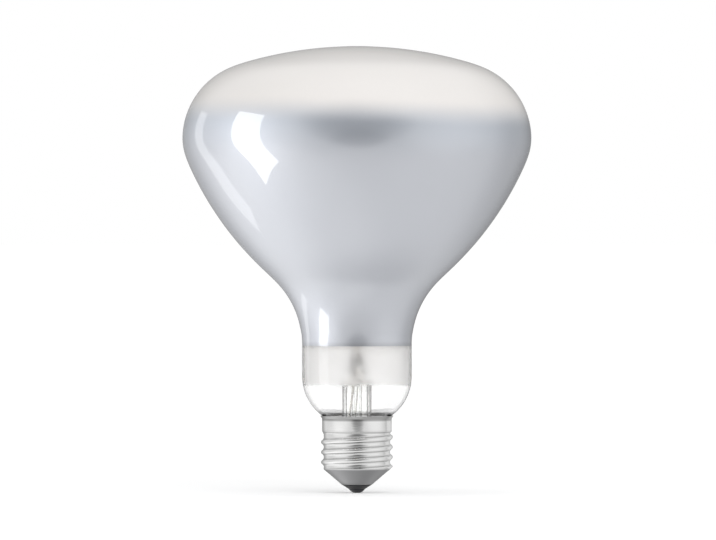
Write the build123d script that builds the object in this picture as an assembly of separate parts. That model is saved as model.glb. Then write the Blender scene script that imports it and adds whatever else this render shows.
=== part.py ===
from build123d import *
import os
from math import acos, atan, atan2, cos, degrees, radians, sin, sqrt, tan

# Reflector bulb with a screw cap and LED filaments, in millimetres.
# It stands on its centre contact, with its axis on Z and its face upwards.

# Blown glass envelope, whose outline is arcs that run into each other
overall_length = 162
bulb_diameter = 127
glass_wall = 1
face_radius = 145
upper_shoulder_radius = 28.5
lower_shoulder_radius = 16.5
side_radius = 118
throat_radius = 32
neck_diameter = 39.8
neck_straight = 11.6
neck_foot_height = 42.3
neck_foot_radius = 17.8
seal_fillet_radius = 3
seal_height = 19

# Aluminium film on the inside of the glass, whose upper edge is tilted a little
film_thickness = 0.2
film_bottom = 53.4
film_top = 138
film_tilt = 1.56

# Screw cap, rolled from sheet
sheet = 0.3
thread_diameter = 26.1
thread_depth = 1.05
thread_pitch = 3.629
thread_crest = 0.85
thread_root = 1.2
root_stop = 3
thread_lead = 0.75
thread_turns = 3.3
thread_fade = 0.35
root_overlap = 0.05
first_crest = 9.3
collar_diameter = 25.3
collar_bottom = 21.7
collar_step = 0.5
collar_height = 5.2
rim_height = 1
rim_flare = 0.65
bend_radius = 0.4
cone_bottom = 3
cone_diameter = 11.1
cone_slope = 40.3
seam_turn = 60

# Insulator, centre contact and cement
insulator_top = 7.2
insulator_slope = 32
contact_diameter = 5.8
contact_nose = 2.6
contact_bulge = 0.15
contact_pin = 3
contact_pin_length = 1.6
wire_hole_gap = 0.3
cement_gap = 1.1
cement_height = 4
cement_depth = 0.3

# Glass stem, pinched flat at its top, with the tube that the bulb was filled through
stem_diameter = 10.8
stem_wall = 1.1
stem_shoulder = 42.5
cavity_dome = 2.3
flare_height = 7
flare_lip = 1
pinch_width = 10.4
pinch_thickness = 4
pinch_taper = 4
pinch_height = 6.7
pinch_turn = 70
exhaust_diameter = 3.7
exhaust_wall = 0.7
exhaust_depth = 1
exhaust_length = 26.5
chamber_height = 1.8
port_diameter = 1.3
mast_diameter = 3
mast_depth = 3
mast_end = 0.4

# Filaments, and the strips and wires that carry them
filament_count = 6
filament_length = 38
filament_width = 2
filament_thickness = 1
filament_rounding = 0.35
filament_bottom = 60
tab_length = 3
tab_width = 1.2
tab_thickness = 0.3
crown_radius = 9
crown_width = 1.2
crown_thickness = 0.6
crown_gap = 4
spoke_count = 3
hub_wall = 0.5
hub_height = 3
hub_clearance = 0.05
lead_diameter = 0.8
lead_spacing = 5
lead_lean = 3.4
lead_bend = 2
lead_rise = 3.5
lead_end = 2.5

# Driver board and what is on it
board_height = 12.4
board_thickness = 1
board_clearance = 0.15
capacitor_diameter = 5
capacitor_length = 7
capacitor_rounding = 0.3
crimp_depth = 0.15
crimp_thickness = 0.6
crimp_place = 2.2
capacitor_place = 5.5
rectifier_length = 4.7
rectifier_width = 3.9
rectifier_height = 1.6
rectifier_place = 7
chip_length = 4.9
chip_width = 3.9
chip_height = 1.5
chip_place = 7
leg_width = 0.4
leg_reach = 0.9
inductor_diameter = 6
inductor_waist = 4.4
inductor_height = 4
inductor_flange = 0.8
inductor_place = 5
resistor_diameter = 2.4
resistor_length = 6.2
resistor_rounding = 0.3
resistor_place = 5.5
resistor_lead = 0.6
resistor_lead_reach = 0.9
input_wire = 0.8
neutral_drop = 2
neutral_bend = 1
neutral_inset = 2.2
neutral_gap = 0.05

# Worked out from the sizes above
bulb_radius = bulb_diameter / 2
neck_radius = neck_diameter / 2
throat_height = neck_foot_height + neck_straight
collar_radius = collar_diameter / 2
collar_top = collar_bottom + collar_height
rim_top = collar_top + rim_height
cone_radius = cone_diameter / 2
seal_radius = collar_radius - sheet - cement_gap
crest_radius = thread_diameter / 2
root_radius = crest_radius - thread_depth
tube_radius = root_radius + root_overlap
tube_bore = tube_radius - sheet
contact_radius = contact_diameter / 2
contact_height = cone_bottom - (cone_radius - contact_radius) * tan(radians(insulator_slope))
pin_top = contact_height + contact_pin_length
stem_radius = stem_diameter / 2
pinch_top = stem_shoulder + pinch_height
exhaust_radius = exhaust_diameter / 2
exhaust_bore = exhaust_radius - exhaust_wall
exhaust_top = stem_shoulder + exhaust_depth
filament_top = filament_bottom + filament_length
board_top = board_height + board_thickness
board_radius = tube_bore - board_clearance
everywhere = 4 * overall_length


def at(radius, height):
    # A point of a half section: its distance from the axis, and its height
    return Vector(radius, 0, height)


def beyond(centre, other, distance):
    # The point at a distance from a centre, towards another point
    return centre + (other - centre).normalized() * distance


def arc(centre, start, end):
    # The short way round a centre
    middle = ((start - centre) + (end - centre)).normalized() * (start - centre).length
    return ThreePointArc(start, centre + middle, end)


def turned(*edges):
    # The solid that a closed half section makes about the axis
    return revolve(make_face(edges), Axis.Z)


def rod(diameter, bottom, top):
    return Pos(0, 0, (bottom + top) / 2) * Cylinder(diameter / 2, top - bottom)


def below(height):
    return rod(everywhere, height - everywhere, height)


def over(height):
    return rod(everywhere, height, height + everywhere)


def bent_wire(diameter, bend, *points):
    # Round wire along straight runs, with an arc at each bend
    path = FilletPolyline(*points, radius=bend)
    return sweep(Plane(origin=path @ 0, z_dir=path % 0) * Circle(diameter / 2), path)


def glass_body(inset):
    # The envelope as a full body, drawn in from the outer face of the glass by the inset
    rise = face_radius - upper_shoulder_radius
    run = bulb_radius - upper_shoulder_radius
    equator = overall_length - face_radius + sqrt(rise**2 - run**2)
    face_centre = at(0, overall_length - face_radius)
    upper_centre = at(run, equator)
    lower_centre = at(bulb_radius - lower_shoulder_radius, equator)
    throat_centre = at(neck_radius + throat_radius, throat_height)
    foot_centre = at(neck_radius - neck_foot_radius, neck_foot_height)

    # The side's centre lies as far from its two neighbours as the radii say
    to_lower = side_radius - lower_shoulder_radius
    to_throat = side_radius + throat_radius
    span = throat_centre - lower_centre
    along = (to_lower**2 - to_throat**2 + span.length**2) / (2 * span.length)
    across = sqrt(to_lower**2 - along**2)
    inwards = Vector(span.Z, 0, -span.X).normalized()
    side_centre = lower_centre + span.normalized() * along + inwards * across

    fillet_radius = seal_radius + seal_fillet_radius
    fillet_drop = sqrt((neck_foot_radius + seal_fillet_radius) ** 2 - (fillet_radius - foot_centre.X) ** 2)
    fillet_centre = at(fillet_radius, neck_foot_height - fillet_drop)

    top = at(0, overall_length - inset)
    shoulder = beyond(face_centre, upper_centre, face_radius - inset)
    widest = at(bulb_radius - inset, equator)
    side_top = beyond(side_centre, lower_centre, side_radius - inset)
    side_end = beyond(side_centre, throat_centre, side_radius - inset)
    throat_end = at(neck_radius - inset, throat_height)
    foot_top = at(neck_radius - inset, neck_foot_height)
    foot_end = beyond(foot_centre, fillet_centre, neck_foot_radius - inset)
    fillet_end = at(seal_radius - inset, fillet_centre.Z)
    return turned(
        arc(face_centre, top, shoulder),
        arc(upper_centre, shoulder, widest),
        arc(lower_centre, widest, side_top),
        arc(side_centre, side_top, side_end),
        arc(throat_centre, side_end, throat_end),
        Line(throat_end, foot_top),
        arc(foot_centre, foot_top, foot_end),
        arc(fillet_centre, foot_end, fillet_end),
        Polyline(fillet_end, at(seal_radius - inset, seal_height), at(0, seal_height), top),
    )


def reflector_film():
    # The skin just inside the glass, between a level edge and the tilted one
    skin = glass_body(glass_wall) - glass_body(glass_wall + film_thickness)
    return skin - Pos(0, 0, film_top) * Rot(0, film_tilt, 0) * over(0) - below(film_bottom)


def knuckle_section(inset):
    # One thread ridge: a crest arc between two root arcs, joined by straight flanks
    crest_arc = thread_crest - inset
    root_arc = thread_root + inset
    crest_centre = crest_radius - inset - crest_arc
    root_centre = root_radius - inset + root_arc
    half = thread_pitch / 2
    reach = sqrt((root_centre - crest_centre) ** 2 + half**2)
    lean = atan2(half, root_centre - crest_centre) - acos((crest_arc + root_arc) / reach)
    stop = radians(root_stop)
    base = root_radius - inset - sheet

    def crest(angle):
        return at(crest_centre + crest_arc * cos(angle), crest_arc * sin(angle))

    def root(angle, side):
        return at(root_centre - root_arc * cos(angle), side * (half - root_arc * sin(angle)))

    low, high = root(stop, -1), root(stop, 1)
    middle = (stop + lean) / 2
    return make_face(
        [
            ThreePointArc(low, root(middle, -1), root(lean, -1)),
            Line(root(lean, -1), crest(-lean)),
            ThreePointArc(crest(-lean), crest(0), crest(lean)),
            Line(crest(lean), root(lean, 1)),
            ThreePointArc(root(lean, 1), root(middle, 1), high),
            Polyline(high, at(base, high.Z), at(base, low.Z), low),
        ]
    )


def thread_ridge(inset):
    # A right-hand ridge that comes out of the end cone and sinks back near the collar
    section = knuckle_section(inset)
    turns = thread_lead + thread_turns
    full = Helix(thread_pitch, thread_pitch * turns, crest_radius)
    fade_height = thread_pitch * thread_fade
    dive = atan((thread_depth + 2 * root_overlap) / fade_height)
    run_out = Helix(thread_pitch / cos(dive), fade_height, crest_radius, cone_angle=-degrees(dive))
    end = Pos(0, 0, thread_pitch * turns) * Rot(0, 0, 360 * turns)
    ridge = sweep(section, full, is_frenet=True) + end * sweep(section, run_out, is_frenet=True)
    return Pos(0, 0, first_crest - thread_pitch * thread_lead) * Rot(0, 0, -360 * thread_lead) * ridge


def below_cone(inset):
    # Everything under the cap's end cone
    slope = tan(radians(cone_slope))
    apex = cone_bottom + inset / cos(radians(cone_slope)) - cone_radius * slope
    reach = thread_diameter
    corners = at(0, apex), at(reach, apex + reach * slope), at(reach, -reach), at(0, -reach)
    return turned(Polyline(*corners, close=True))


def cap_body(inset):
    # The cap as a full body, drawn in by the inset: rim, collar, thread and end cone
    line = FilletPolyline(
        at(collar_radius + 2 * rim_flare, collar_top + 2 * rim_height),
        at(collar_radius, collar_top),
        at(collar_radius, collar_bottom + collar_step),
        at(tube_radius, collar_bottom),
        at(tube_radius, 0),
        radius=bend_radius,
    )
    if inset:
        line = offset(line, amount=inset, side=Side.LEFT, closed=False)
    low, high = sorted((line @ 0, line @ 1), key=lambda point: point.Z)
    # The tube's seam is turned away from where the ridge starts and ends
    tube = Rot(0, 0, seam_turn) * turned(*line.edges(), Polyline(low, at(0, low.Z), at(0, high.Z), high))
    return tube + thread_ridge(inset) - below_cone(inset) - over(rim_top)


def cap_insulator(inner_cap):
    # Black glass poured into the end cone, with a lip under it that holds the contact
    lip = turned(
        Polyline(
            at(0, cone_bottom),
            at(cone_radius, cone_bottom),
            at(contact_radius, contact_height),
            at(0, contact_height),
            close=True,
        )
    )
    fill = inner_cap - over(insulator_top) - below(cone_bottom)
    wire_hole = rod(input_wire + 2 * wire_hole_gap, pin_top, insulator_top)
    return fill + lip - rod(contact_pin, contact_height, pin_top) - wire_hole


def centre_contact():
    # A turned rivet: a rounded nose under the insulator and a pin up into it
    side = at(contact_radius, contact_height)
    foot = at(contact_nose / 2, 0)
    bulge = (side + foot) / 2 + at(1, -1).normalized() * contact_bulge
    nose = turned(ThreePointArc(side, bulge, foot), Polyline(foot, at(0, 0), at(0, contact_height), side))
    return nose + rod(contact_pin, contact_height, pin_top)


def cap_cement(inner_cap):
    # The ring of cement between the collar and the glass
    top = collar_top - cement_depth
    return inner_cap - over(top) - below(top - cement_height) - glass_body(0)


def stem_shell():
    # A tube flared out to meet the end of the neck, with a press on its domed top
    neck_bore = seal_radius - glass_wall
    flare_reach = neck_bore - stem_radius
    flare_radius = (flare_reach**2 + flare_height**2) / (2 * flare_reach)
    flare_centre = at(stem_radius + flare_radius, seal_height + flare_height)
    under_flare = sqrt((flare_radius + stem_wall) ** 2 - (flare_height + flare_lip) ** 2)
    bore = stem_radius - stem_wall
    cavity_top = stem_shoulder - stem_wall
    dome_radius = (bore**2 + cavity_dome**2) / (2 * cavity_dome)
    spring = at(bore, cavity_top - cavity_dome)
    lip = seal_height - flare_lip
    lip_end = at(flare_centre.X - under_flare, lip)
    tube = turned(
        Polyline(lip_end, at(seal_radius, lip), at(seal_radius, seal_height), at(neck_bore, seal_height)),
        arc(flare_centre, at(neck_bore, seal_height), at(stem_radius, flare_centre.Z)),
        Polyline(
            at(stem_radius, flare_centre.Z),
            at(stem_radius, stem_shoulder),
            at(0, stem_shoulder),
            at(0, cavity_top),
        ),
        arc(at(0, cavity_top - dome_radius), at(0, cavity_top), spring),
        Line(spring, at(bore, flare_centre.Z)),
        arc(flare_centre, at(bore, flare_centre.Z), lip_end),
    )
    flat = Rot(0, 0, pinch_turn) * Ellipse(pinch_width / 2, pinch_thickness / 2)
    taper_top = stem_shoulder + pinch_taper
    taper = loft([Pos(0, 0, stem_shoulder) * Circle(stem_radius), Pos(0, 0, taper_top) * flat])
    press = extrude(Pos(0, 0, taper_top) * flat, pinch_top - taper_top)
    return tube + taper + press


def stem_tube(*held):
    # The stem, with its holes for what is melted into it and the port to the exhaust tube
    chamber = rod(2 * exhaust_bore, exhaust_top, exhaust_top + chamber_height)
    port = Rot(0, 0, pinch_turn + 90) * Rot(0, 90, 0) * rod(port_diameter, 0, stem_diameter)
    stem = stem_shell() - rod(exhaust_diameter, seal_height, exhaust_top)
    stem = stem - chamber - Pos(0, 0, exhaust_top + chamber_height / 2) * port
    for piece in held:
        stem -= piece
    return stem


def exhaust_tube():
    # Open at its top and melted shut to a round tip at its foot
    foot = exhaust_top - exhaust_length
    centre = at(0, foot + exhaust_radius)
    return turned(
        arc(centre, at(0, foot), at(exhaust_radius, centre.Z)),
        Polyline(
            at(exhaust_radius, centre.Z),
            at(exhaust_radius, exhaust_top),
            at(exhaust_bore, exhaust_top),
            at(exhaust_bore, centre.Z),
        ),
        arc(centre, at(exhaust_bore, centre.Z), at(0, foot + exhaust_wall)),
        Line(at(0, foot + exhaust_wall), at(0, foot)),
    )


def lead_in_wire(side):
    # From the board, leaning up the stem, through the press and out to a crown
    sideways = (Rot(0, 0, pinch_turn) * Pos(side, 0, 0)).position
    inner = sideways * (lead_spacing / 2)
    outer = sideways * crown_radius
    foot = inner - Vector(lead_lean, 0, 0)
    crown_bottom = filament_bottom - crown_thickness
    return bent_wire(
        lead_diameter,
        lead_bend,
        foot + Vector(0, 0, board_top),
        foot + Vector(0, 0, board_top + lead_end),
        inner + Vector(0, 0, stem_shoulder - stem_wall),
        inner + Vector(0, 0, pinch_top + lead_rise),
        outer + Vector(0, 0, crown_bottom - lead_end),
        outer + Vector(0, 0, crown_bottom),
    )


def crown_strip(bottom, span):
    # Part of a flat ring, with its middle on the X axis
    near, far = crown_radius - crown_width / 2, crown_radius + crown_width / 2
    top = bottom + crown_thickness
    corners = at(near, bottom), at(far, bottom), at(far, top), at(near, top)
    return Rot(0, 0, -span / 2) * revolve(make_face(Polyline(*corners, close=True)), Axis.Z, span)


def lower_crown(side):
    # Half a ring on each lead wire, under three of the filaments
    span = 180 - degrees(crown_gap / crown_radius)
    return Rot(0, 0, pinch_turn + 90 - 90 * side) * crown_strip(filament_bottom - crown_thickness, span)


def upper_crown():
    # A whole ring over all the filaments, held on the mast by a hub and spokes
    top = filament_top + crown_thickness
    bore = mast_diameter + 2 * hub_clearance
    crown = crown_strip(filament_top, 360) + rod(bore + 2 * hub_wall, top - hub_height, top)
    reach = crown_radius - mast_diameter / 2
    middle = at(crown_radius - reach / 2, filament_top + crown_thickness / 2)
    spoke = Pos(middle) * Box(reach, crown_width, crown_thickness)
    for turn in range(spoke_count):
        crown += Rot(0, 0, pinch_turn + turn * 360 / spoke_count) * spoke
    return crown - rod(bore, top - hub_height, top)


def led_filament(place):
    # A coated stick with a metal tab at each end, set on edge round the mast
    section = RectangleRounded(filament_thickness, filament_width, filament_rounding)
    stick = extrude(section, filament_length - 2 * tab_length)
    tabs = Pos(0, 0, filament_length / 2 - tab_length) * Box(tab_thickness, tab_width, filament_length)
    turn = pinch_turn + place * 360 / filament_count
    return Rot(0, 0, turn) * Pos(crown_radius, 0, filament_bottom + tab_length) * (stick + tabs)


def flat_chip(length, width, height, legs):
    # A moulded block that stands on rows of legs, with its length along Y
    body = Pos(0, 0, height / 2 + leg_width / 2) * Box(width, length, height - leg_width)
    leg = Pos(0, 0, height / 4) * Box(width + 2 * leg_reach, leg_width, height / 2)
    for number in range(legs):
        body += Pos(0, (number - (legs - 1) / 2) * length / legs, 0) * leg
    return body


def capacitor():
    # A round can on its side, with a crimped neck
    radius = capacitor_diameter / 2
    can = Cylinder(radius, capacitor_length)
    can = fillet(can.edges().filter_by(GeomType.CIRCLE), capacitor_rounding)
    crimp = Pos(0, 0, crimp_place) * Torus(radius + crimp_thickness / 2 - crimp_depth, crimp_thickness / 2)
    return Pos(capacitor_place, 0, board_top + radius) * Rot(90, 0, 0) * (can - crimp)


def inductor():
    # A drum core under the board, wound between its two flanges
    foot = board_height - inductor_height
    drum = rod(inductor_waist, foot, board_height)
    drum += rod(inductor_diameter, foot, foot + inductor_flange)
    drum += rod(inductor_diameter, board_height - inductor_flange, board_height)
    return Pos(inductor_place, 0, 0) * drum


def fusible_resistor():
    # Lies under the board on its two bent leads
    drop = resistor_diameter / 2
    end = resistor_length / 2 + resistor_lead_reach
    barrel = Cylinder(drop, resistor_length)
    barrel = fillet(barrel.edges().filter_by(GeomType.CIRCLE), resistor_rounding)
    body = Rot(90, 0, 0) * (barrel + Cylinder(resistor_lead / 2, 2 * end))
    for side in (-1, 1):
        body += Pos(0, side * (end - resistor_lead / 2), 0) * rod(resistor_lead, 0, drop)
    return Pos(-resistor_place, 0, board_height - drop) * body


def neutral_input_wire():
    # From the board down and out to the bare inside of the cap, at a root of its thread
    height = board_height - neutral_drop
    turn = 360 * (height + thread_pitch / 2 - first_crest) / thread_pitch
    start = board_radius - neutral_inset
    corners = at(start, board_height), at(start, height), at(tube_bore - neutral_gap, height)
    return Rot(0, 0, turn) * bent_wire(input_wire, neutral_bend, *corners)


outer_cap = cap_body(0)
inner_cap = cap_body(sheet)
live_lead = lead_in_wire(1)
neutral_lead = lead_in_wire(-1)
mast = rod(mast_diameter, pinch_top - mast_depth, filament_top + crown_thickness + mast_end)

pieces = {
    "glass_envelope": glass_body(0) - glass_body(glass_wall),
    "reflector_film": reflector_film(),
    "stem_tube": stem_tube(mast, live_lead, neutral_lead),
    "exhaust_tube": exhaust_tube(),
    "filament_mast": mast,
    "lead_wire_live": live_lead,
    "lead_wire_neutral": neutral_lead,
    "lower_crown_live": lower_crown(1),
    "lower_crown_neutral": lower_crown(-1),
    "upper_crown": upper_crown(),
    "cap_shell": outer_cap - inner_cap - below(cone_bottom),
    "cap_insulator": cap_insulator(inner_cap),
    "centre_contact": centre_contact(),
    "cap_cement": cap_cement(inner_cap),
    "driver_board": rod(2 * board_radius, board_height, board_top),
    "smoothing_capacitor": capacitor(),
    "bridge_rectifier": Pos(0, rectifier_place, board_top)
    * flat_chip(rectifier_length, rectifier_width, rectifier_height, 2),
    "driver_chip": Pos(0, -chip_place, board_top) * flat_chip(chip_length, chip_width, chip_height, 4),
    "inductor": inductor(),
    "fusible_resistor": fusible_resistor(),
    "live_input_wire": rod(input_wire, pin_top, board_height),
    "neutral_input_wire": neutral_input_wire(),
}
for place in range(filament_count):
    pieces[f"led_filament_{place + 1}"] = led_filament(place)

os.makedirs("parts", exist_ok=True)
for name, piece in pieces.items():
    export_step(piece, f"parts/{name}.step")
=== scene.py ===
import bpy
import bmesh
from math import atan2, ceil, cos, pi, radians, sin, sqrt
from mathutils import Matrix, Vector


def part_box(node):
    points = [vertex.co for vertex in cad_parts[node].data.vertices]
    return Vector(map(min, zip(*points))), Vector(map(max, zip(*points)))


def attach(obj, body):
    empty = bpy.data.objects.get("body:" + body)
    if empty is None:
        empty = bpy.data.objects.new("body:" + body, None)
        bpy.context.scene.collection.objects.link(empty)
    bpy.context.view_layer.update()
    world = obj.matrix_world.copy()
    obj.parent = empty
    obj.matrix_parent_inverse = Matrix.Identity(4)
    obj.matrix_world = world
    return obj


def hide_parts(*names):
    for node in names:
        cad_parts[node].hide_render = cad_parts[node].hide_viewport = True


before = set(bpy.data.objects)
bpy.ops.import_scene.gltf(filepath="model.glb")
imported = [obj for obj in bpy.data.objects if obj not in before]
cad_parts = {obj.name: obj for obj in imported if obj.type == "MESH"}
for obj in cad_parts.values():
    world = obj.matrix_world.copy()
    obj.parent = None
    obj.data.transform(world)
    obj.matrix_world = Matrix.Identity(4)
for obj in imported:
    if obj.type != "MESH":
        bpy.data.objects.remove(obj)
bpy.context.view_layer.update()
print("frame loaded:", len(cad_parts), "nodes")

mergeDistance = 0.000002  # points closer than this are one


def newMaterial(name, **settings):
    material = bpy.data.materials.new(name)
    material.use_nodes = True
    shader = material.node_tree.nodes["Principled BSDF"]
    for socket, value in settings.items():
        shader.inputs[socket.replace("_", " ")].default_value = value
    return material, material.node_tree, shader


def addNode(tree, kind, **settings):
    node = tree.nodes.new(kind)
    for name, value in settings.items():
        setattr(node, name, value)
    return node


def objectPlace(tree):
    return addNode(tree, "ShaderNodeTexCoord").outputs["Object"]


def placeSplit(tree):
    split = addNode(tree, "ShaderNodeSeparateXYZ")
    tree.links.new(objectPlace(tree), split.inputs[0])
    return split


def mathOf(tree, operation, first, second=0.0, third=0.0):
    node = addNode(tree, "ShaderNodeMath", operation=operation)
    for socket, value in zip(node.inputs, (first, second, third)):
        if isinstance(value, bpy.types.NodeSocket):
            tree.links.new(value, socket)
        else:
            socket.default_value = value
    return node.outputs[0]


def product(tree, first, second):
    return mathOf(tree, "MULTIPLY", first, second)


def rangeOf(tree, value, fromLow, fromHigh, toLow=0.0, toHigh=1.0):
    # a soft step from toLow to toHigh while value goes from fromLow to fromHigh
    node = addNode(tree, "ShaderNodeMapRange", clamp=True, interpolation_type="SMOOTHSTEP")
    tree.links.new(value, node.inputs["Value"])
    limits = {"From Min": fromLow, "From Max": fromHigh, "To Min": toLow, "To Max": toHigh}
    for socket, number in limits.items():
        node.inputs[socket].default_value = number
    return node.outputs["Result"]


def lengthOf(tree, vector):
    node = addNode(tree, "ShaderNodeVectorMath", operation="LENGTH")
    tree.links.new(vector, node.inputs[0])
    return node.outputs["Value"]


def noiseOf(tree, scale, detail=2.0, stretch=(1, 1, 1)):
    mapping = addNode(tree, "ShaderNodeMapping")
    mapping.inputs["Scale"].default_value = stretch
    noise = addNode(tree, "ShaderNodeTexNoise")
    noise.inputs["Scale"].default_value = scale
    noise.inputs["Detail"].default_value = detail
    tree.links.new(objectPlace(tree), mapping.inputs["Vector"])
    tree.links.new(mapping.outputs[0], noise.inputs["Vector"])
    return noise.outputs["Fac"]


def facingOf(tree):
    # 0 where a surface faces the viewer, 1 at its edge
    return addNode(tree, "ShaderNodeLayerWeight").outputs["Facing"]


def shaded(colour, factor):
    return tuple(channel * factor for channel in colour)


def colourMix(tree, share, first, second, blend="MIX"):
    node = addNode(tree, "ShaderNodeMix", data_type="RGBA", blend_type=blend)
    for index, value in ((0, share), (6, first), (7, second)):  # its sockets for a mix of colours
        socket = node.inputs[index]
        if isinstance(value, bpy.types.NodeSocket):
            tree.links.new(value, socket)
        else:
            socket.default_value = value if isinstance(value, float) else (*value, 1.0)
    return node.outputs[2]


def mottled(tree, share, colour, low, high=1.0):
    # a colour that wanders between two of its own shades
    return colourMix(tree, share, shaded(colour, low), shaded(colour, high))


def bumpOn(tree, shader, height, strength, distance, socket="Normal"):
    bump = addNode(tree, "ShaderNodeBump")
    bump.inputs["Strength"].default_value = strength
    bump.inputs["Distance"].default_value = distance
    tree.links.new(height, bump.inputs["Height"])
    tree.links.new(bump.outputs[0], shader.inputs[socket])


def turnTo(mesh, vert, centre, end, spacing):
    # spins one vertex round a centre in the XZ plane, up to where end is seen from it
    start = vert.co - centre
    goal = end - centre
    angle = atan2(goal.x, goal.z) - atan2(start.x, start.z)
    angle = (angle + pi) % (2 * pi) - pi
    steps = max(2, ceil(abs(angle) * start.length / spacing))
    made = bmesh.ops.spin(mesh, geom=[vert], cent=centre, axis=(0, 1, 0), angle=angle, steps=steps)
    return [v for v in made["geom_last"] if isinstance(v, bmesh.types.BMVert)][0]


def runTo(mesh, vert, end):
    # one straight run to end
    made = bmesh.ops.extrude_vert_indiv(mesh, verts=[vert])["verts"][0]
    bmesh.ops.translate(mesh, verts=[made], vec=end - vert.co)
    return made


def fullTurn(mesh, steps):
    outline = mesh.verts[:] + mesh.edges[:]
    bmesh.ops.spin(
        mesh, geom=outline, cent=(0, 0, 0), axis=(0, 0, 1), angle=2 * pi, steps=steps, use_merge=True
    )
    bmesh.ops.remove_doubles(mesh, verts=mesh.verts[:], dist=mergeDistance)
    bmesh.ops.dissolve_degenerate(mesh, edges=mesh.edges[:], dist=mergeDistance / 2)
    bmesh.ops.recalc_face_normals(mesh, faces=mesh.faces[:])


def addPiece(mesh, name, node, slot, *materials):
    # finishes a bmesh as a piece that stands for a node of the frame
    data = bpy.data.meshes.new(name)
    mesh.to_mesh(data)
    mesh.free()
    piece = bpy.data.objects.new(name, data)
    bpy.context.scene.collection.objects.link(piece)
    for material in materials:
        data.materials.append(material)
    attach(piece, "root")
    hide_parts(node)
    return piece


def smoothCopy(node, name, slot, material, crease=30):
    # the frame's own shape with its loose triangles joined and shaded smooth
    mesh = bmesh.new()
    mesh.from_mesh(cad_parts[node].data)
    bmesh.ops.remove_doubles(mesh, verts=mesh.verts[:], dist=mergeDistance)
    piece = addPiece(mesh, name, node, slot, material)
    for face in piece.data.polygons:
        face.material_index = 0
    piece.data.shade_smooth()
    piece.data.set_sharp_from_angle(angle=radians(crease))
    return piece


def dressNode(node, material):
    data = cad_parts[node].data
    data.materials.clear()
    data.materials.append(material)


glass = {
    "faceRadius": 0.145,
    "upperShoulderRadius": 0.0285,
    "lowerShoulderRadius": 0.0165,
    "sideRadius": 0.118,
    "throatRadius": 0.032,
    "neckRadius": 0.0199,
    "neckStraight": 0.0116,
    "neckFootHeight": 0.0423,
    "neckFootRadius": 0.0178,
    "sealRadius": 0.01125,
    "sealFillet": 0.003,
    "wall": 0.001,
    "spacing": 0.0011,  # between points along the outline
    "turnSteps": 176,
    "easing": 16,  # passes that soften the joints of the arcs
    "easedOutside": 0.004,  # the neck and the pole keep their shape
    "easedAbove": 0.058,
    "crease": 40,  # degrees
    "filmBottom": 0.0534,
    "filmTop": 0.138,
    "filmTilt": radians(1.56),
    "filmSoftness": 0.005,
    "filmRaggedness": 0.0015,
    "thinFrom": 0.018,  # below the film's top, where it starts to turn bluer
    "thinTo": 0.004,
    "silverColour": (0.572, 0.592, 0.642),
    "silverEdgeColour": (0.56, 0.598, 0.663),
    "silverMetal": 0.9,
    "silverRoughness": 0.5,
    "lipShade": 0.82,  # of the silver between two heights above its lower edge
    "lipFrom": 0.0002,
    "lipTo": 0.002,
    "bodyIndex": 1.5,
    "coatIndex": 2.2,
    "coatRoughness": 0.015,
    "faceColour": (0.84, 0.81, 0.785),
    "faceRoughness": 0.75,
    # painted glow of the frosted face's inner side
    "facePaintedGlow": 1.5,
    "neckIndex": 1.48,
    "neckTones": ((0.985, 0.985, 0.985), (0.995, 0.995, 0.995)),
    # painted shade towards the neck's outline
    "neckEdgeShade": (0.66, 0.66, 0.66),
    "neckEdgeFrom": 0.55,
    "neckEdgeTo": 0.95,
    "sealTop": 0.0297,
    "sealSoftness": 0.0006,
    "sealRaggedness": 0.0014,
    "sealColour": (0.36, 0.36, 0.365),
    "frostBottom": 0.0388,
    "frostSoftness": 0.002,
    "frostRaggedness": 0.0012,
    "frostColour": (0.985, 0.978, 0.97),
    "frostRoughness": 0.39,
    "frostMilk": 0.22,
}


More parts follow.
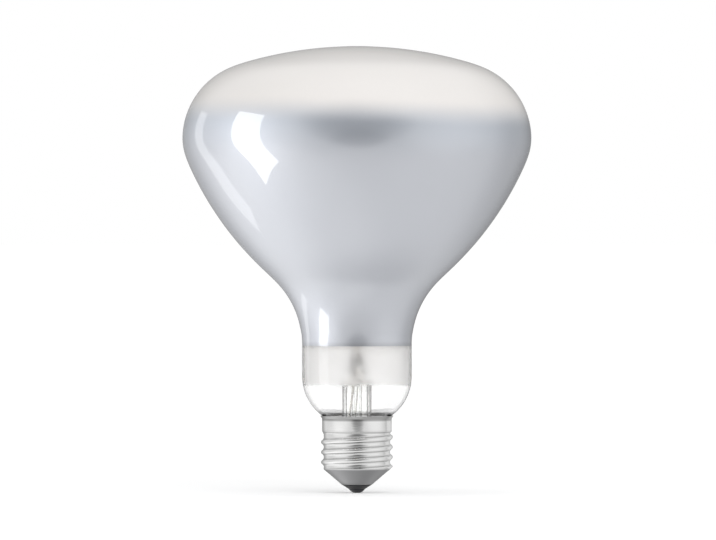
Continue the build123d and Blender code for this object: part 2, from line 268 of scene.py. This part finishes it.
def glassOutline(mesh, inset):
    # half outline of the envelope from its top to its seal, drawn in by inset
    low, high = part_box("glass_envelope")
    top, seal = high[2], low[2]
    halfWidth = (high[0] - low[0]) / 2
    face, upper, lower = glass["faceRadius"], glass["upperShoulderRadius"], glass["lowerShoulderRadius"]
    side, throat, neck = glass["sideRadius"], glass["throatRadius"], glass["neckRadius"]
    foot, fillet, footHeight = glass["neckFootRadius"], glass["sealFillet"], glass["neckFootHeight"]
    outwards = Vector((1, 0, 0))
    equator = top - face + sqrt((face - upper) ** 2 - (halfWidth - upper) ** 2)
    faceCentre = Vector((0, 0, top - face))
    upperCentre = Vector((halfWidth - upper, 0, equator))
    lowerCentre = Vector((halfWidth - lower, 0, equator))
    throatCentre = Vector((neck + throat, 0, footHeight + glass["neckStraight"]))
    footCentre = Vector((neck - foot, 0, footHeight))
    span = throatCentre - lowerCentre
    along = ((side - lower) ** 2 - (side + throat) ** 2 + span.length_squared) / (2 * span.length)
    across = sqrt((side - lower) ** 2 - along**2)
    acrossWay = Vector((span.z, 0, -span.x)).normalized()
    sideCentre = lowerCentre + span.normalized() * along + acrossWay * across
    filletReach = glass["sealRadius"] + fillet
    filletDrop = sqrt((foot + fillet) ** 2 - (filletReach - footCentre.x) ** 2)
    filletCentre = Vector((filletReach, 0, footHeight - filletDrop))
    step = glass["spacing"]
    vert = mesh.verts.new((0, 0, top - inset))
    vert = turnTo(mesh, vert, faceCentre, upperCentre, step)
    vert = turnTo(mesh, vert, upperCentre, upperCentre + outwards, step)
    vert = turnTo(mesh, vert, lowerCentre, lowerCentre + (lowerCentre - sideCentre), step)
    vert = turnTo(mesh, vert, sideCentre, throatCentre, step)
    vert = turnTo(mesh, vert, throatCentre, throatCentre - outwards, step)
    vert = runTo(mesh, vert, Vector((vert.co.x, 0, glass["filmBottom"])))
    vert = runTo(mesh, vert, Vector((vert.co.x, 0, footHeight)))
    vert = turnTo(mesh, vert, footCentre, filletCentre, step / 1.5)
    vert = turnTo(mesh, vert, filletCentre, filletCentre - outwards, step / 2)
    return runTo(mesh, vert, Vector((glass["sealRadius"] - inset, 0, seal)))


def coatedGlass():
    # silvered sides and frosted face under the smooth outer skin of the glass
    coat = {"Coat_Weight": 1.0, "Coat_Roughness": glass["coatRoughness"], "Coat_IOR": glass["coatIndex"]}
    material, tree, shader = newMaterial("silveredAndFrostedGlass", IOR=glass["bodyIndex"], **coat)
    place = placeSplit(tree)
    level = mathOf(tree, "MULTIPLY_ADD", place.outputs["X"], sin(glass["filmTilt"]), place.outputs["Z"])
    patchy = mathOf(tree, "SUBTRACT", noiseOf(tree, scale=26, detail=3), 0.5)
    level = mathOf(tree, "MULTIPLY_ADD", patchy, glass["filmRaggedness"], level)
    top, softness, bottom = glass["filmTop"], glass["filmSoftness"], glass["filmBottom"]
    faceShare = rangeOf(tree, level, top - softness, top + softness)
    cloud = rangeOf(tree, noiseOf(tree, scale=14, detail=4, stretch=(1, 1, 0.35)), 0.3, 0.7)
    silver = mottled(tree, cloud, glass["silverColour"], low=0.97, high=1.03)
    thin = rangeOf(tree, level, top - glass["thinFrom"], top - glass["thinTo"])
    silver = colourMix(tree, thin, silver, glass["silverEdgeColour"])
    lipRange = bottom + glass["lipFrom"], bottom + glass["lipTo"]
    lip = rangeOf(tree, place.outputs["Z"], *lipRange, glass["lipShade"])
    silver = colourMix(tree, 1.0, silver, lip, blend="MULTIPLY")
    grain = noiseOf(tree, scale=900, detail=1)
    face = mottled(tree, grain, glass["faceColour"], low=0.985)
    metal = product(tree, mathOf(tree, "SUBTRACT", 1.0, faceShare), glass["silverMetal"])
    rough = rangeOf(tree, faceShare, 0, 1, glass["silverRoughness"], glass["faceRoughness"])
    tree.links.new(colourMix(tree, faceShare, silver, face), shader.inputs["Base Color"])
    tree.links.new(metal, shader.inputs["Metallic"])
    tree.links.new(rough, shader.inputs["Roughness"])
    bumpOn(tree, shader, grain, strength=0.12, distance=0.0002)
    waves = noiseOf(tree, scale=9, detail=1)
    bumpOn(tree, shader, waves, strength=0.06, distance=0.004, socket="Coat Normal")
    return material


def neckOutside():
    # smooth outer face of the bare neck, with a painted shade greying it towards its outline, and grey where
    # it runs into the cap
    clear = {"Transmission_Weight": 1.0, "IOR": glass["neckIndex"], "Roughness": 0.0}
    material, tree, shader = newMaterial("neckGlassOutside", **clear)
    tone = colourMix(tree, noiseOf(tree, scale=30), *glass["neckTones"])
    # painted shade: the glass greys towards its outline as seen
    edge = rangeOf(tree, facingOf(tree), glass["neckEdgeFrom"], glass["neckEdgeTo"])
    tone = colourMix(tree, edge, tone, glass["neckEdgeShade"])
    height = placeSplit(tree).outputs["Z"]
    ragged = noiseOf(tree, scale=150, detail=3)
    height = mathOf(tree, "MULTIPLY_ADD", ragged, glass["sealRaggedness"], height)
    seal = rangeOf(tree, height, glass["sealTop"] + glass["sealSoftness"], glass["sealTop"])
    tree.links.new(colourMix(tree, seal, tone, glass["sealColour"]), shader.inputs["Base Color"])
    bumpOn(tree, shader, noiseOf(tree, scale=60, detail=1), strength=0.05, distance=0.002)
    return material


def neckInside():
    # inner face of the bare neck: frosted under the silver, clear at the foot
    clear = {"Transmission_Weight": 1.0, "IOR": glass["neckIndex"]}
    material, tree, shader = newMaterial("neckGlassInside", **clear)
    height = placeSplit(tree).outputs["Z"]
    ragged = noiseOf(tree, scale=220, detail=3)
    height = mathOf(tree, "MULTIPLY_ADD", ragged, glass["frostRaggedness"], height)
    frostTop = glass["frostBottom"] + glass["frostSoftness"]
    frost = rangeOf(tree, height, glass["frostBottom"], frostTop)
    through = rangeOf(tree, frost, 0, 1, 1.0, 1.0 - glass["frostMilk"])
    tone = colourMix(tree, frost, glass["neckTones"][1], glass["frostColour"])
    tree.links.new(product(tree, frost, glass["frostRoughness"]), shader.inputs["Roughness"])
    tree.links.new(through, shader.inputs["Transmission Weight"])
    tree.links.new(tone, shader.inputs["Base Color"])
    return material


def faceInside():
    # inner side of the frosted face, with a painted glow that stands in for the daylight coming through it
    lit = {"Roughness": 0.8, "Emission_Strength": glass["facePaintedGlow"]}
    material, tree, shader = newMaterial("frostedFaceInside", **lit)
    tone = mottled(tree, noiseOf(tree, scale=700), glass["faceColour"], low=0.97)
    tree.links.new(tone, shader.inputs["Base Color"])
    tree.links.new(tone, shader.inputs["Emission Color"])
    return material


def envelopeLook(face):
    # 0 silver and frosted face, 1 bare neck outside, 2 bare neck inside, 3 face inside
    centre = face.calc_center_median()
    if centre.z < glass["filmBottom"]:
        inside = face.normal.x * centre.x + face.normal.y * centre.y < 0
        return 2 if inside else 1
    middle = Vector((0, 0, glass["filmTop"] * 0.8))
    inside = face.normal.dot(centre - middle) < 0
    return 3 if inside and centre.z > glass["filmTop"] else 0


def makeEnvelope():
    mesh = bmesh.new()
    outerEnd = glassOutline(mesh, 0)
    innerEnd = glassOutline(mesh, glass["wall"])
    outside, above = glass["easedOutside"], glass["easedAbove"]
    blown = [vert for vert in mesh.verts if vert.co.x > outside and vert.co.z > above]
    for easing in range(glass["easing"]):
        bmesh.ops.smooth_vert(
            mesh, verts=blown, factor=0.5, use_axis_x=True, use_axis_y=True, use_axis_z=True
        )
    mesh.edges.new((outerEnd, innerEnd))
    fullTurn(mesh, glass["turnSteps"])
    for face in mesh.faces:
        face.smooth = True
        face.material_index = envelopeLook(face)
    looks = coatedGlass(), neckOutside(), neckInside(), faceInside()
    piece = addPiece(mesh, "glassEnvelope", "glass_envelope", "frosted_glass", *looks)
    piece.data.set_sharp_from_angle(angle=radians(glass["crease"]))
    return piece


envelope = makeEnvelope()
print("glass envelope made")

cap = {
    "metalColour": (0.86, 0.86, 0.855),
    "metalRoughness": 0.14,
    "drawnRoughness": 0.08,
    "threadTop": 0.0224,
    "threadSoftness": 0.0006,
    "rootRadius": 0.01197,
    "crestRadius": 0.01288,
    # painted shade on the thread's flanks
    "flankPaintedShade": 0.72,
    "rimBottom": 0.0258,
    "rimSoftness": 0.0008,
    "rimShade": 0.44,
    "coneTop": 0.0086,
    "coneSoftness": 0.0002,
    "coneRoughness": 0.34,
    # painted shade of the cone: the same metal, darkened for the dark it reflects from below
    "coneShadeColour": (0.325, 0.325, 0.33),
    "blackColour": (0.006, 0.006, 0.007),
    # painted shade: the contact's metal darkened for the dark it reflects under the tip
    "contactShadeColour": (0.05, 0.05, 0.055),
    "cementColour": (0.36, 0.34, 0.31),
}


def flankOf(tree, height):
    # 1 on the flanks of the thread, 0 on its crest and root and away from it: where a painted shade falls
    flat = addNode(tree, "ShaderNodeVectorMath", operation="MULTIPLY")
    flat.inputs[1].default_value = (1, 1, 0)
    tree.links.new(objectPlace(tree), flat.inputs[0])
    radius = lengthOf(tree, flat.outputs[0])
    middle = (cap["rootRadius"] + cap["crestRadius"]) / 2
    rise = rangeOf(tree, radius, cap["rootRadius"], middle)
    fall = rangeOf(tree, radius, cap["crestRadius"], middle)
    below = rangeOf(tree, height, cap["threadTop"] + cap["threadSoftness"], cap["threadTop"])
    return product(tree, product(tree, rise, fall), below)


def capMetal():
    material, tree, shader = newMaterial("rolledCapMetal", Metallic=1.0)
    colour = cap["metalColour"]
    height = placeSplit(tree).outputs["Z"]
    top, softness = cap["coneTop"], cap["coneSoftness"]
    cone = rangeOf(tree, height, top + softness, top - softness)
    rim = rangeOf(tree, height, cap["rimBottom"], cap["rimBottom"] + cap["rimSoftness"])
    drawn = noiseOf(tree, scale=300, detail=2, stretch=(1, 1, 9))
    tone = mottled(tree, noiseOf(tree, scale=160, detail=4), colour, low=0.9)
    # painted shade on the thread's flanks, for the dark they see between the turns
    tone = colourMix(tree, flankOf(tree, height), tone, shaded(colour, cap["flankPaintedShade"]))
    tone = colourMix(tree, rim, tone, shaded(colour, cap["rimShade"]))
    # painted shade: the cone's metal darkened for the dark it reflects from below
    tone = colourMix(tree, cone, tone, cap["coneShadeColour"])
    spread = cap["drawnRoughness"]
    rough = mathOf(tree, "MULTIPLY_ADD", drawn, spread, cap["metalRoughness"] - spread / 2)
    rough = mathOf(tree, "MULTIPLY_ADD", cone, cap["coneRoughness"] - cap["metalRoughness"], rough)
    tree.links.new(tone, shader.inputs["Base Color"])
    tree.links.new(rough, shader.inputs["Roughness"])
    bumpOn(tree, shader, drawn, strength=0.12, distance=0.0002)
    return material


def blackGlass():
    coat = {"Coat_Weight": 0.06, "Coat_Roughness": 0.1}
    material, tree, shader = newMaterial("blackGlass", Roughness=0.5, Specular_IOR_Level=0.35, **coat)
    tone = mottled(tree, noiseOf(tree, scale=400, detail=3), cap["blackColour"], low=1.0, high=2.5)
    tree.links.new(tone, shader.inputs["Base Color"])
    bumpOn(tree, shader, noiseOf(tree, scale=250, detail=2), strength=0.15, distance=0.0003)
    return material


def contactMetal():
    # metal painted near-black: a painted shade for the dark the contact reflects under the tip
    material, tree, shader = newMaterial("shadeDarkenedContactMetal", Metallic=0.9)
    dull = noiseOf(tree, scale=500, detail=4)
    tone = mottled(tree, dull, cap["contactShadeColour"], low=0.6)
    tree.links.new(tone, shader.inputs["Base Color"])
    tree.links.new(rangeOf(tree, dull, 0.3, 0.7, 0.3, 0.5), shader.inputs["Roughness"])
    bumpOn(tree, shader, dull, strength=0.2, distance=0.0002)
    return material


def cementStuff():
    material, tree, shader = newMaterial("groundCement", Roughness=0.9)
    grains = noiseOf(tree, scale=1500, detail=3)
    tone = mottled(tree, grains, cap["cementColour"], low=0.7)
    tree.links.new(tone, shader.inputs["Base Color"])
    bumpOn(tree, shader, grains, strength=0.5, distance=0.0003)
    return material


capShell = smoothCopy("cap_shell", "capShell", "cap_metal", capMetal(), crease=35)
smoothCopy("cap_insulator", "capInsulator", "black_glass", blackGlass())
smoothCopy("centre_contact", "centreContact", "contact_metal", contactMetal())
smoothCopy("cap_cement", "capCement", "cement", cementStuff())
print("cap made")

stem = {
    "glassColour": (0.985, 0.99, 0.985),
    "glassIndex": 1.5,
    # painted shade at the edges of the tube walls
    "edgeShadeColour": (0.09, 0.09, 0.09),
    "edgeTop": 0.039,
    "edgeSoftness": 0.002,
    "edgeFrom": 0.36,
    "edgeTo": 0.5,
    "wireColour": (0.55, 0.53, 0.50),
    "filmColour": (0.86, 0.87, 0.88),
    "phosphorColour": (0.80, 0.52, 0.06),
}


def stemGlass(name, edgeShadeColour):
    # clear tube glass, whose walls darken at their edges to the given edge colour in the clear foot of the
    # neck: a painted shade for the dark rims that tube walls show
    clear = {"Transmission_Weight": 1.0, "IOR": stem["glassIndex"], "Roughness": 0.0}
    material, tree, shader = newMaterial(name, **clear)
    tone = mottled(tree, noiseOf(tree, scale=90), stem["glassColour"], low=0.98)
    height = placeSplit(tree).outputs["Z"]
    below = rangeOf(tree, height, stem["edgeTop"] + stem["edgeSoftness"], stem["edgeTop"])
    edge = rangeOf(tree, facingOf(tree), stem["edgeFrom"], stem["edgeTo"])
    tone = colourMix(tree, product(tree, below, edge), tone, edgeShadeColour)
    tree.links.new(tone, shader.inputs["Base Color"])
    bumpOn(tree, shader, noiseOf(tree, scale=120, detail=1), strength=0.06, distance=0.001)
    return material


def wireMetal(name, colour):
    material, tree, shader = newMaterial(name, Metallic=1.0)
    tarnish = noiseOf(tree, scale=700, detail=3)
    tone = mottled(tree, tarnish, colour, low=0.7)
    tree.links.new(tone, shader.inputs["Base Color"])
    tree.links.new(rangeOf(tree, tarnish, 0.3, 0.7, 0.22, 0.42), shader.inputs["Roughness"])
    return material


def plainStuff(name, colour, roughness, grain):
    # a matt or moulded finish: a little mottling, grain and relief
    material, tree, shader = newMaterial(name)
    mottle = noiseOf(tree, scale=grain, detail=3)
    tone = mottled(tree, mottle, colour, low=0.78)
    rough = rangeOf(tree, mottle, 0.25, 0.75, roughness - 0.08, roughness + 0.08)
    tree.links.new(tone, shader.inputs["Base Color"])
    tree.links.new(rough, shader.inputs["Roughness"])
    bumpOn(tree, shader, mottle, strength=0.25, distance=0.0002)
    return material


clearGlass = stemGlass("stemGlass", stem["edgeShadeColour"])
mastGlass = stemGlass("mastGlass", stem["glassColour"])
nickel = wireMetal("nickelWire", stem["wireColour"])
silverFilm = wireMetal("reflectorSilver", stem["filmColour"])
phosphor = plainStuff("phosphorCoat", stem["phosphorColour"], roughness=0.6, grain=1800)
smoothCopy("stem_tube", "stemTube", "clear_glass", clearGlass, crease=35)
smoothCopy("exhaust_tube", "exhaustTube", "clear_glass", clearGlass)
smoothCopy("filament_mast", "filamentMast", "clear_glass", mastGlass)
smoothCopy("lead_wire_live", "leadWireLive", "nickel_wire", nickel)
smoothCopy("lead_wire_neutral", "leadWireNeutral", "nickel_wire", nickel)
smoothCopy("reflector_film", "reflectorFilm", "reflector_silver", silverFilm)
for crown in ("lower_crown_live", "lower_crown_neutral", "upper_crown"):
    dressNode(crown, nickel)
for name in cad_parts:
    if name.startswith("led_filament"):
        dressNode(name, phosphor)
print("stem and filaments made")

driver = {  # node: material, colour and roughness
    "driver_board": ("circuitBoard", (0.02, 0.16, 0.06), 0.45),
    "smoothing_capacitor": ("canSleeve", (0.02, 0.03, 0.09), 0.35),
    "bridge_rectifier": ("rectifierPlastic", (0.02, 0.02, 0.02), 0.5),
    "driver_chip": ("chipPlastic", (0.02, 0.02, 0.02), 0.5),
    "inductor": ("ferrite", (0.06, 0.055, 0.05), 0.55),
    "fusible_resistor": ("resistorBody", (0.12, 0.30, 0.22), 0.5),
}
tinColour = (0.66, 0.66, 0.64)

for name, (title, colour, roughness) in driver.items():
    dressNode(name, plainStuff(title, colour, roughness, grain=900))
tinned = wireMetal("tinnedWire", tinColour)
dressNode("live_input_wire", tinned)
dressNode("neutral_input_wire", tinned)
print("driver dressed")

studio = {
    "floorSize": 40.0,
    "floorDrop": 0.00005,
    "floorColour": (0.9, 0.9, 0.9),
    "floorGlow": 0.62,
    "floorLit": 0.3,
    "ambient": 0.45,
    "room": 0.82,
    "lobes": (  # way, outer and inner half angle, level: what gloss sees that way
        ((0.0, -0.92, 0.4), 42, 12, 0.41),
        ((0.03, -1.0, -0.06), 24, 7, 0.47),
        ((-0.85, -0.52, 0.0), 38, 8, 1.22),
        ((0.88, -0.47, 0.0), 38, 8, 1.22),
        ((-0.55, -0.05, -0.83), 55, 20, 1.3),
        ((0.45, -0.1, -0.89), 45, 20, 1.08),
        ((-0.1, 0.99, 0.0), 48, 14, 0.5),
        ((0.62, 0.78, 0.0), 45, 12, 0.6),
        ((0.04, 0.36, -0.93), 32, 8, 0.62),
        ((-0.5, 0.45, -0.74), 40, 10, 1.2),
    ),
    "throughGlass": 1.2,
    "lamps": {  # place, aim, size, radiance, lean and, for a highlight, the piece it is for
        "keyPanel": ((-0.6, -0.175, 0.03), (0, -0.175, 0.03), (0.262, 0.86), 1.75, 6, envelope),
        "edgeStrip": ((-0.758, 0.491, -0.115), (-0.049, -0.063, -0.115), (0.185, 1.05), 0.62, 9.4, envelope),
        "lowReflex": ((0.42, 0.56, 0.03), (0, 0, 0.02), (0.7, 0.6), 0.34, 0, capShell),
        "leftFill": ((-1.0, -0.7, 0.35), (0, 0, 0.1), (0.9, 0.9), 1.2),
        "rightFill": ((1.0, -0.7, 0.3), (0, 0, 0.1), (0.9, 0.9), 1.5),
        "frontFill": ((0.3, -1.25, 1.2), (0, 0, 0.12), (1.2, 0.8), 2.4),
        "topFill": ((0.0, 0.1, 1.6), (0, 0, 0.12), (1.2, 1.2), 1.25),
    },
    "centre": Vector((0.0004, 0, 0.0808)),
    "frameWidth": 0.2597,
    "sensorWidth": 36,
    "cameraDistance": 3.5,
    "cameraHeight": radians(0.4),
    "bounces": 24,
}


def floorPaper():
    # paper that glows to the camera just enough to make up for the lamps' fall-off
    material, tree, shader = newMaterial("floorPaper", Roughness=0.9)
    tone = mottled(tree, noiseOf(tree, scale=300), studio["floorColour"], low=0.99)
    tree.links.new(tone, shader.inputs["Base Color"])
    rays = addNode(tree, "ShaderNodeLightPath")
    seen = mathOf(tree, "MAXIMUM", rays.outputs["Is Camera Ray"], rays.outputs["Is Transmission Ray"])
    away = lengthOf(tree, objectPlace(tree))
    lit = mathOf(tree, "DIVIDE", studio["floorLit"], mathOf(tree, "MULTIPLY_ADD", away, away, 1.0))
    strength = product(tree, seen, mathOf(tree, "SUBTRACT", studio["floorGlow"], lit))
    glow = addNode(tree, "ShaderNodeEmission")
    both = addNode(tree, "ShaderNodeAddShader")
    tree.links.new(strength, glow.inputs["Strength"])
    tree.links.new(shader.outputs[0], both.inputs[0])
    tree.links.new(glow.outputs[0], both.inputs[1])
    tree.links.new(both.outputs[0], tree.nodes["Material Output"].inputs["Surface"])
    return material


def makeFloor():
    mesh = bmesh.new()
    bmesh.ops.create_grid(mesh, x_segments=1, y_segments=1, size=studio["floorSize"] / 2)
    data = bpy.data.meshes.new("studioFloor")
    mesh.to_mesh(data)
    mesh.free()
    floor = bpy.data.objects.new("studioFloor", data)
    floor.location.z = -studio["floorDrop"]
    floor.visible_glossy = False
    bpy.context.scene.collection.objects.link(floor)
    data.materials.append(floorPaper())


def makeWorld():
    # white to the camera, a plain level for light, a room with lobes for gloss
    world = bpy.data.worlds.new("studioRoom")
    bpy.context.scene.world = world
    world.use_nodes = True
    tree = world.node_tree
    back = tree.nodes["Background"]
    back.inputs["Color"].default_value = (1, 1, 1, 1)
    rays = addNode(tree, "ShaderNodeLightPath")
    way = addNode(tree, "ShaderNodeTexCoord").outputs["Generated"]
    room = studio["room"]
    for centre, wide, narrow, level in studio["lobes"]:
        towards = addNode(tree, "ShaderNodeVectorMath", operation="DOT_PRODUCT")
        towards.inputs[1].default_value = Vector(centre).normalized()
        tree.links.new(way, towards.inputs[0])
        outer, inner = cos(radians(wide)), cos(radians(narrow))
        room = product(tree, room, rangeOf(tree, towards.outputs["Value"], outer, inner, 1.0, level))
    seen = studio["ambient"]
    for ray, goal in (("Glossy", room), ("Transmission", studio["throughGlass"]), ("Camera", 1.0)):
        change = mathOf(tree, "SUBTRACT", goal, seen)
        seen = mathOf(tree, "MULTIPLY_ADD", change, rays.outputs[f"Is {ray} Ray"], seen)
    tree.links.new(seen, back.inputs["Strength"])


def addLamp(name, place, aim, size, radiance, lean=0, only=None):
    # a flat lamp whose power follows from how bright its face is
    lamp = bpy.data.lights.new(name, "AREA")
    lamp.shape = "RECTANGLE"
    lamp.size, lamp.size_y = size
    lamp.energy = radiance * pi * size[0] * size[1]
    holder = bpy.data.objects.new(name, lamp)
    holder.location = place
    holder.rotation_euler = (Vector(aim) - Vector(place)).to_track_quat("-Z", "Y").to_euler()
    holder.rotation_euler.rotate_axis("Z", radians(lean))
    holder.visible_camera = False
    holder.visible_glossy = bool(only)
    holder.visible_diffuse = not only
    if only:  # a highlight made for one piece
        holder.light_linking.receiver_collection = bpy.data.collections.new(name + "Lit")
        holder.light_linking.receiver_collection.objects.link(only)
    bpy.context.scene.collection.objects.link(holder)


def makeCamera():
    lens = bpy.data.cameras.new("camera")
    lens.sensor_width = studio["sensorWidth"]
    lens.lens = lens.sensor_width * studio["cameraDistance"] / studio["frameWidth"]
    camera = bpy.data.objects.new("camera", lens)
    away = Vector((0, -cos(studio["cameraHeight"]), sin(studio["cameraHeight"])))
    camera.location = studio["centre"] + away * studio["cameraDistance"]
    camera.rotation_euler = (-away).to_track_quat("-Z", "Y").to_euler()
    bpy.context.scene.collection.objects.link(camera)
    bpy.context.scene.camera = camera


makeFloor()
makeWorld()
for name, settings in studio["lamps"].items():
    addLamp(name, *settings)
makeCamera()
bpy.context.scene.cycles.transmission_bounces = studio["bounces"]
bpy.context.scene.cycles.max_bounces = studio["bounces"]
bpy.context.scene.view_settings.view_transform = "Standard"
print("studio made")
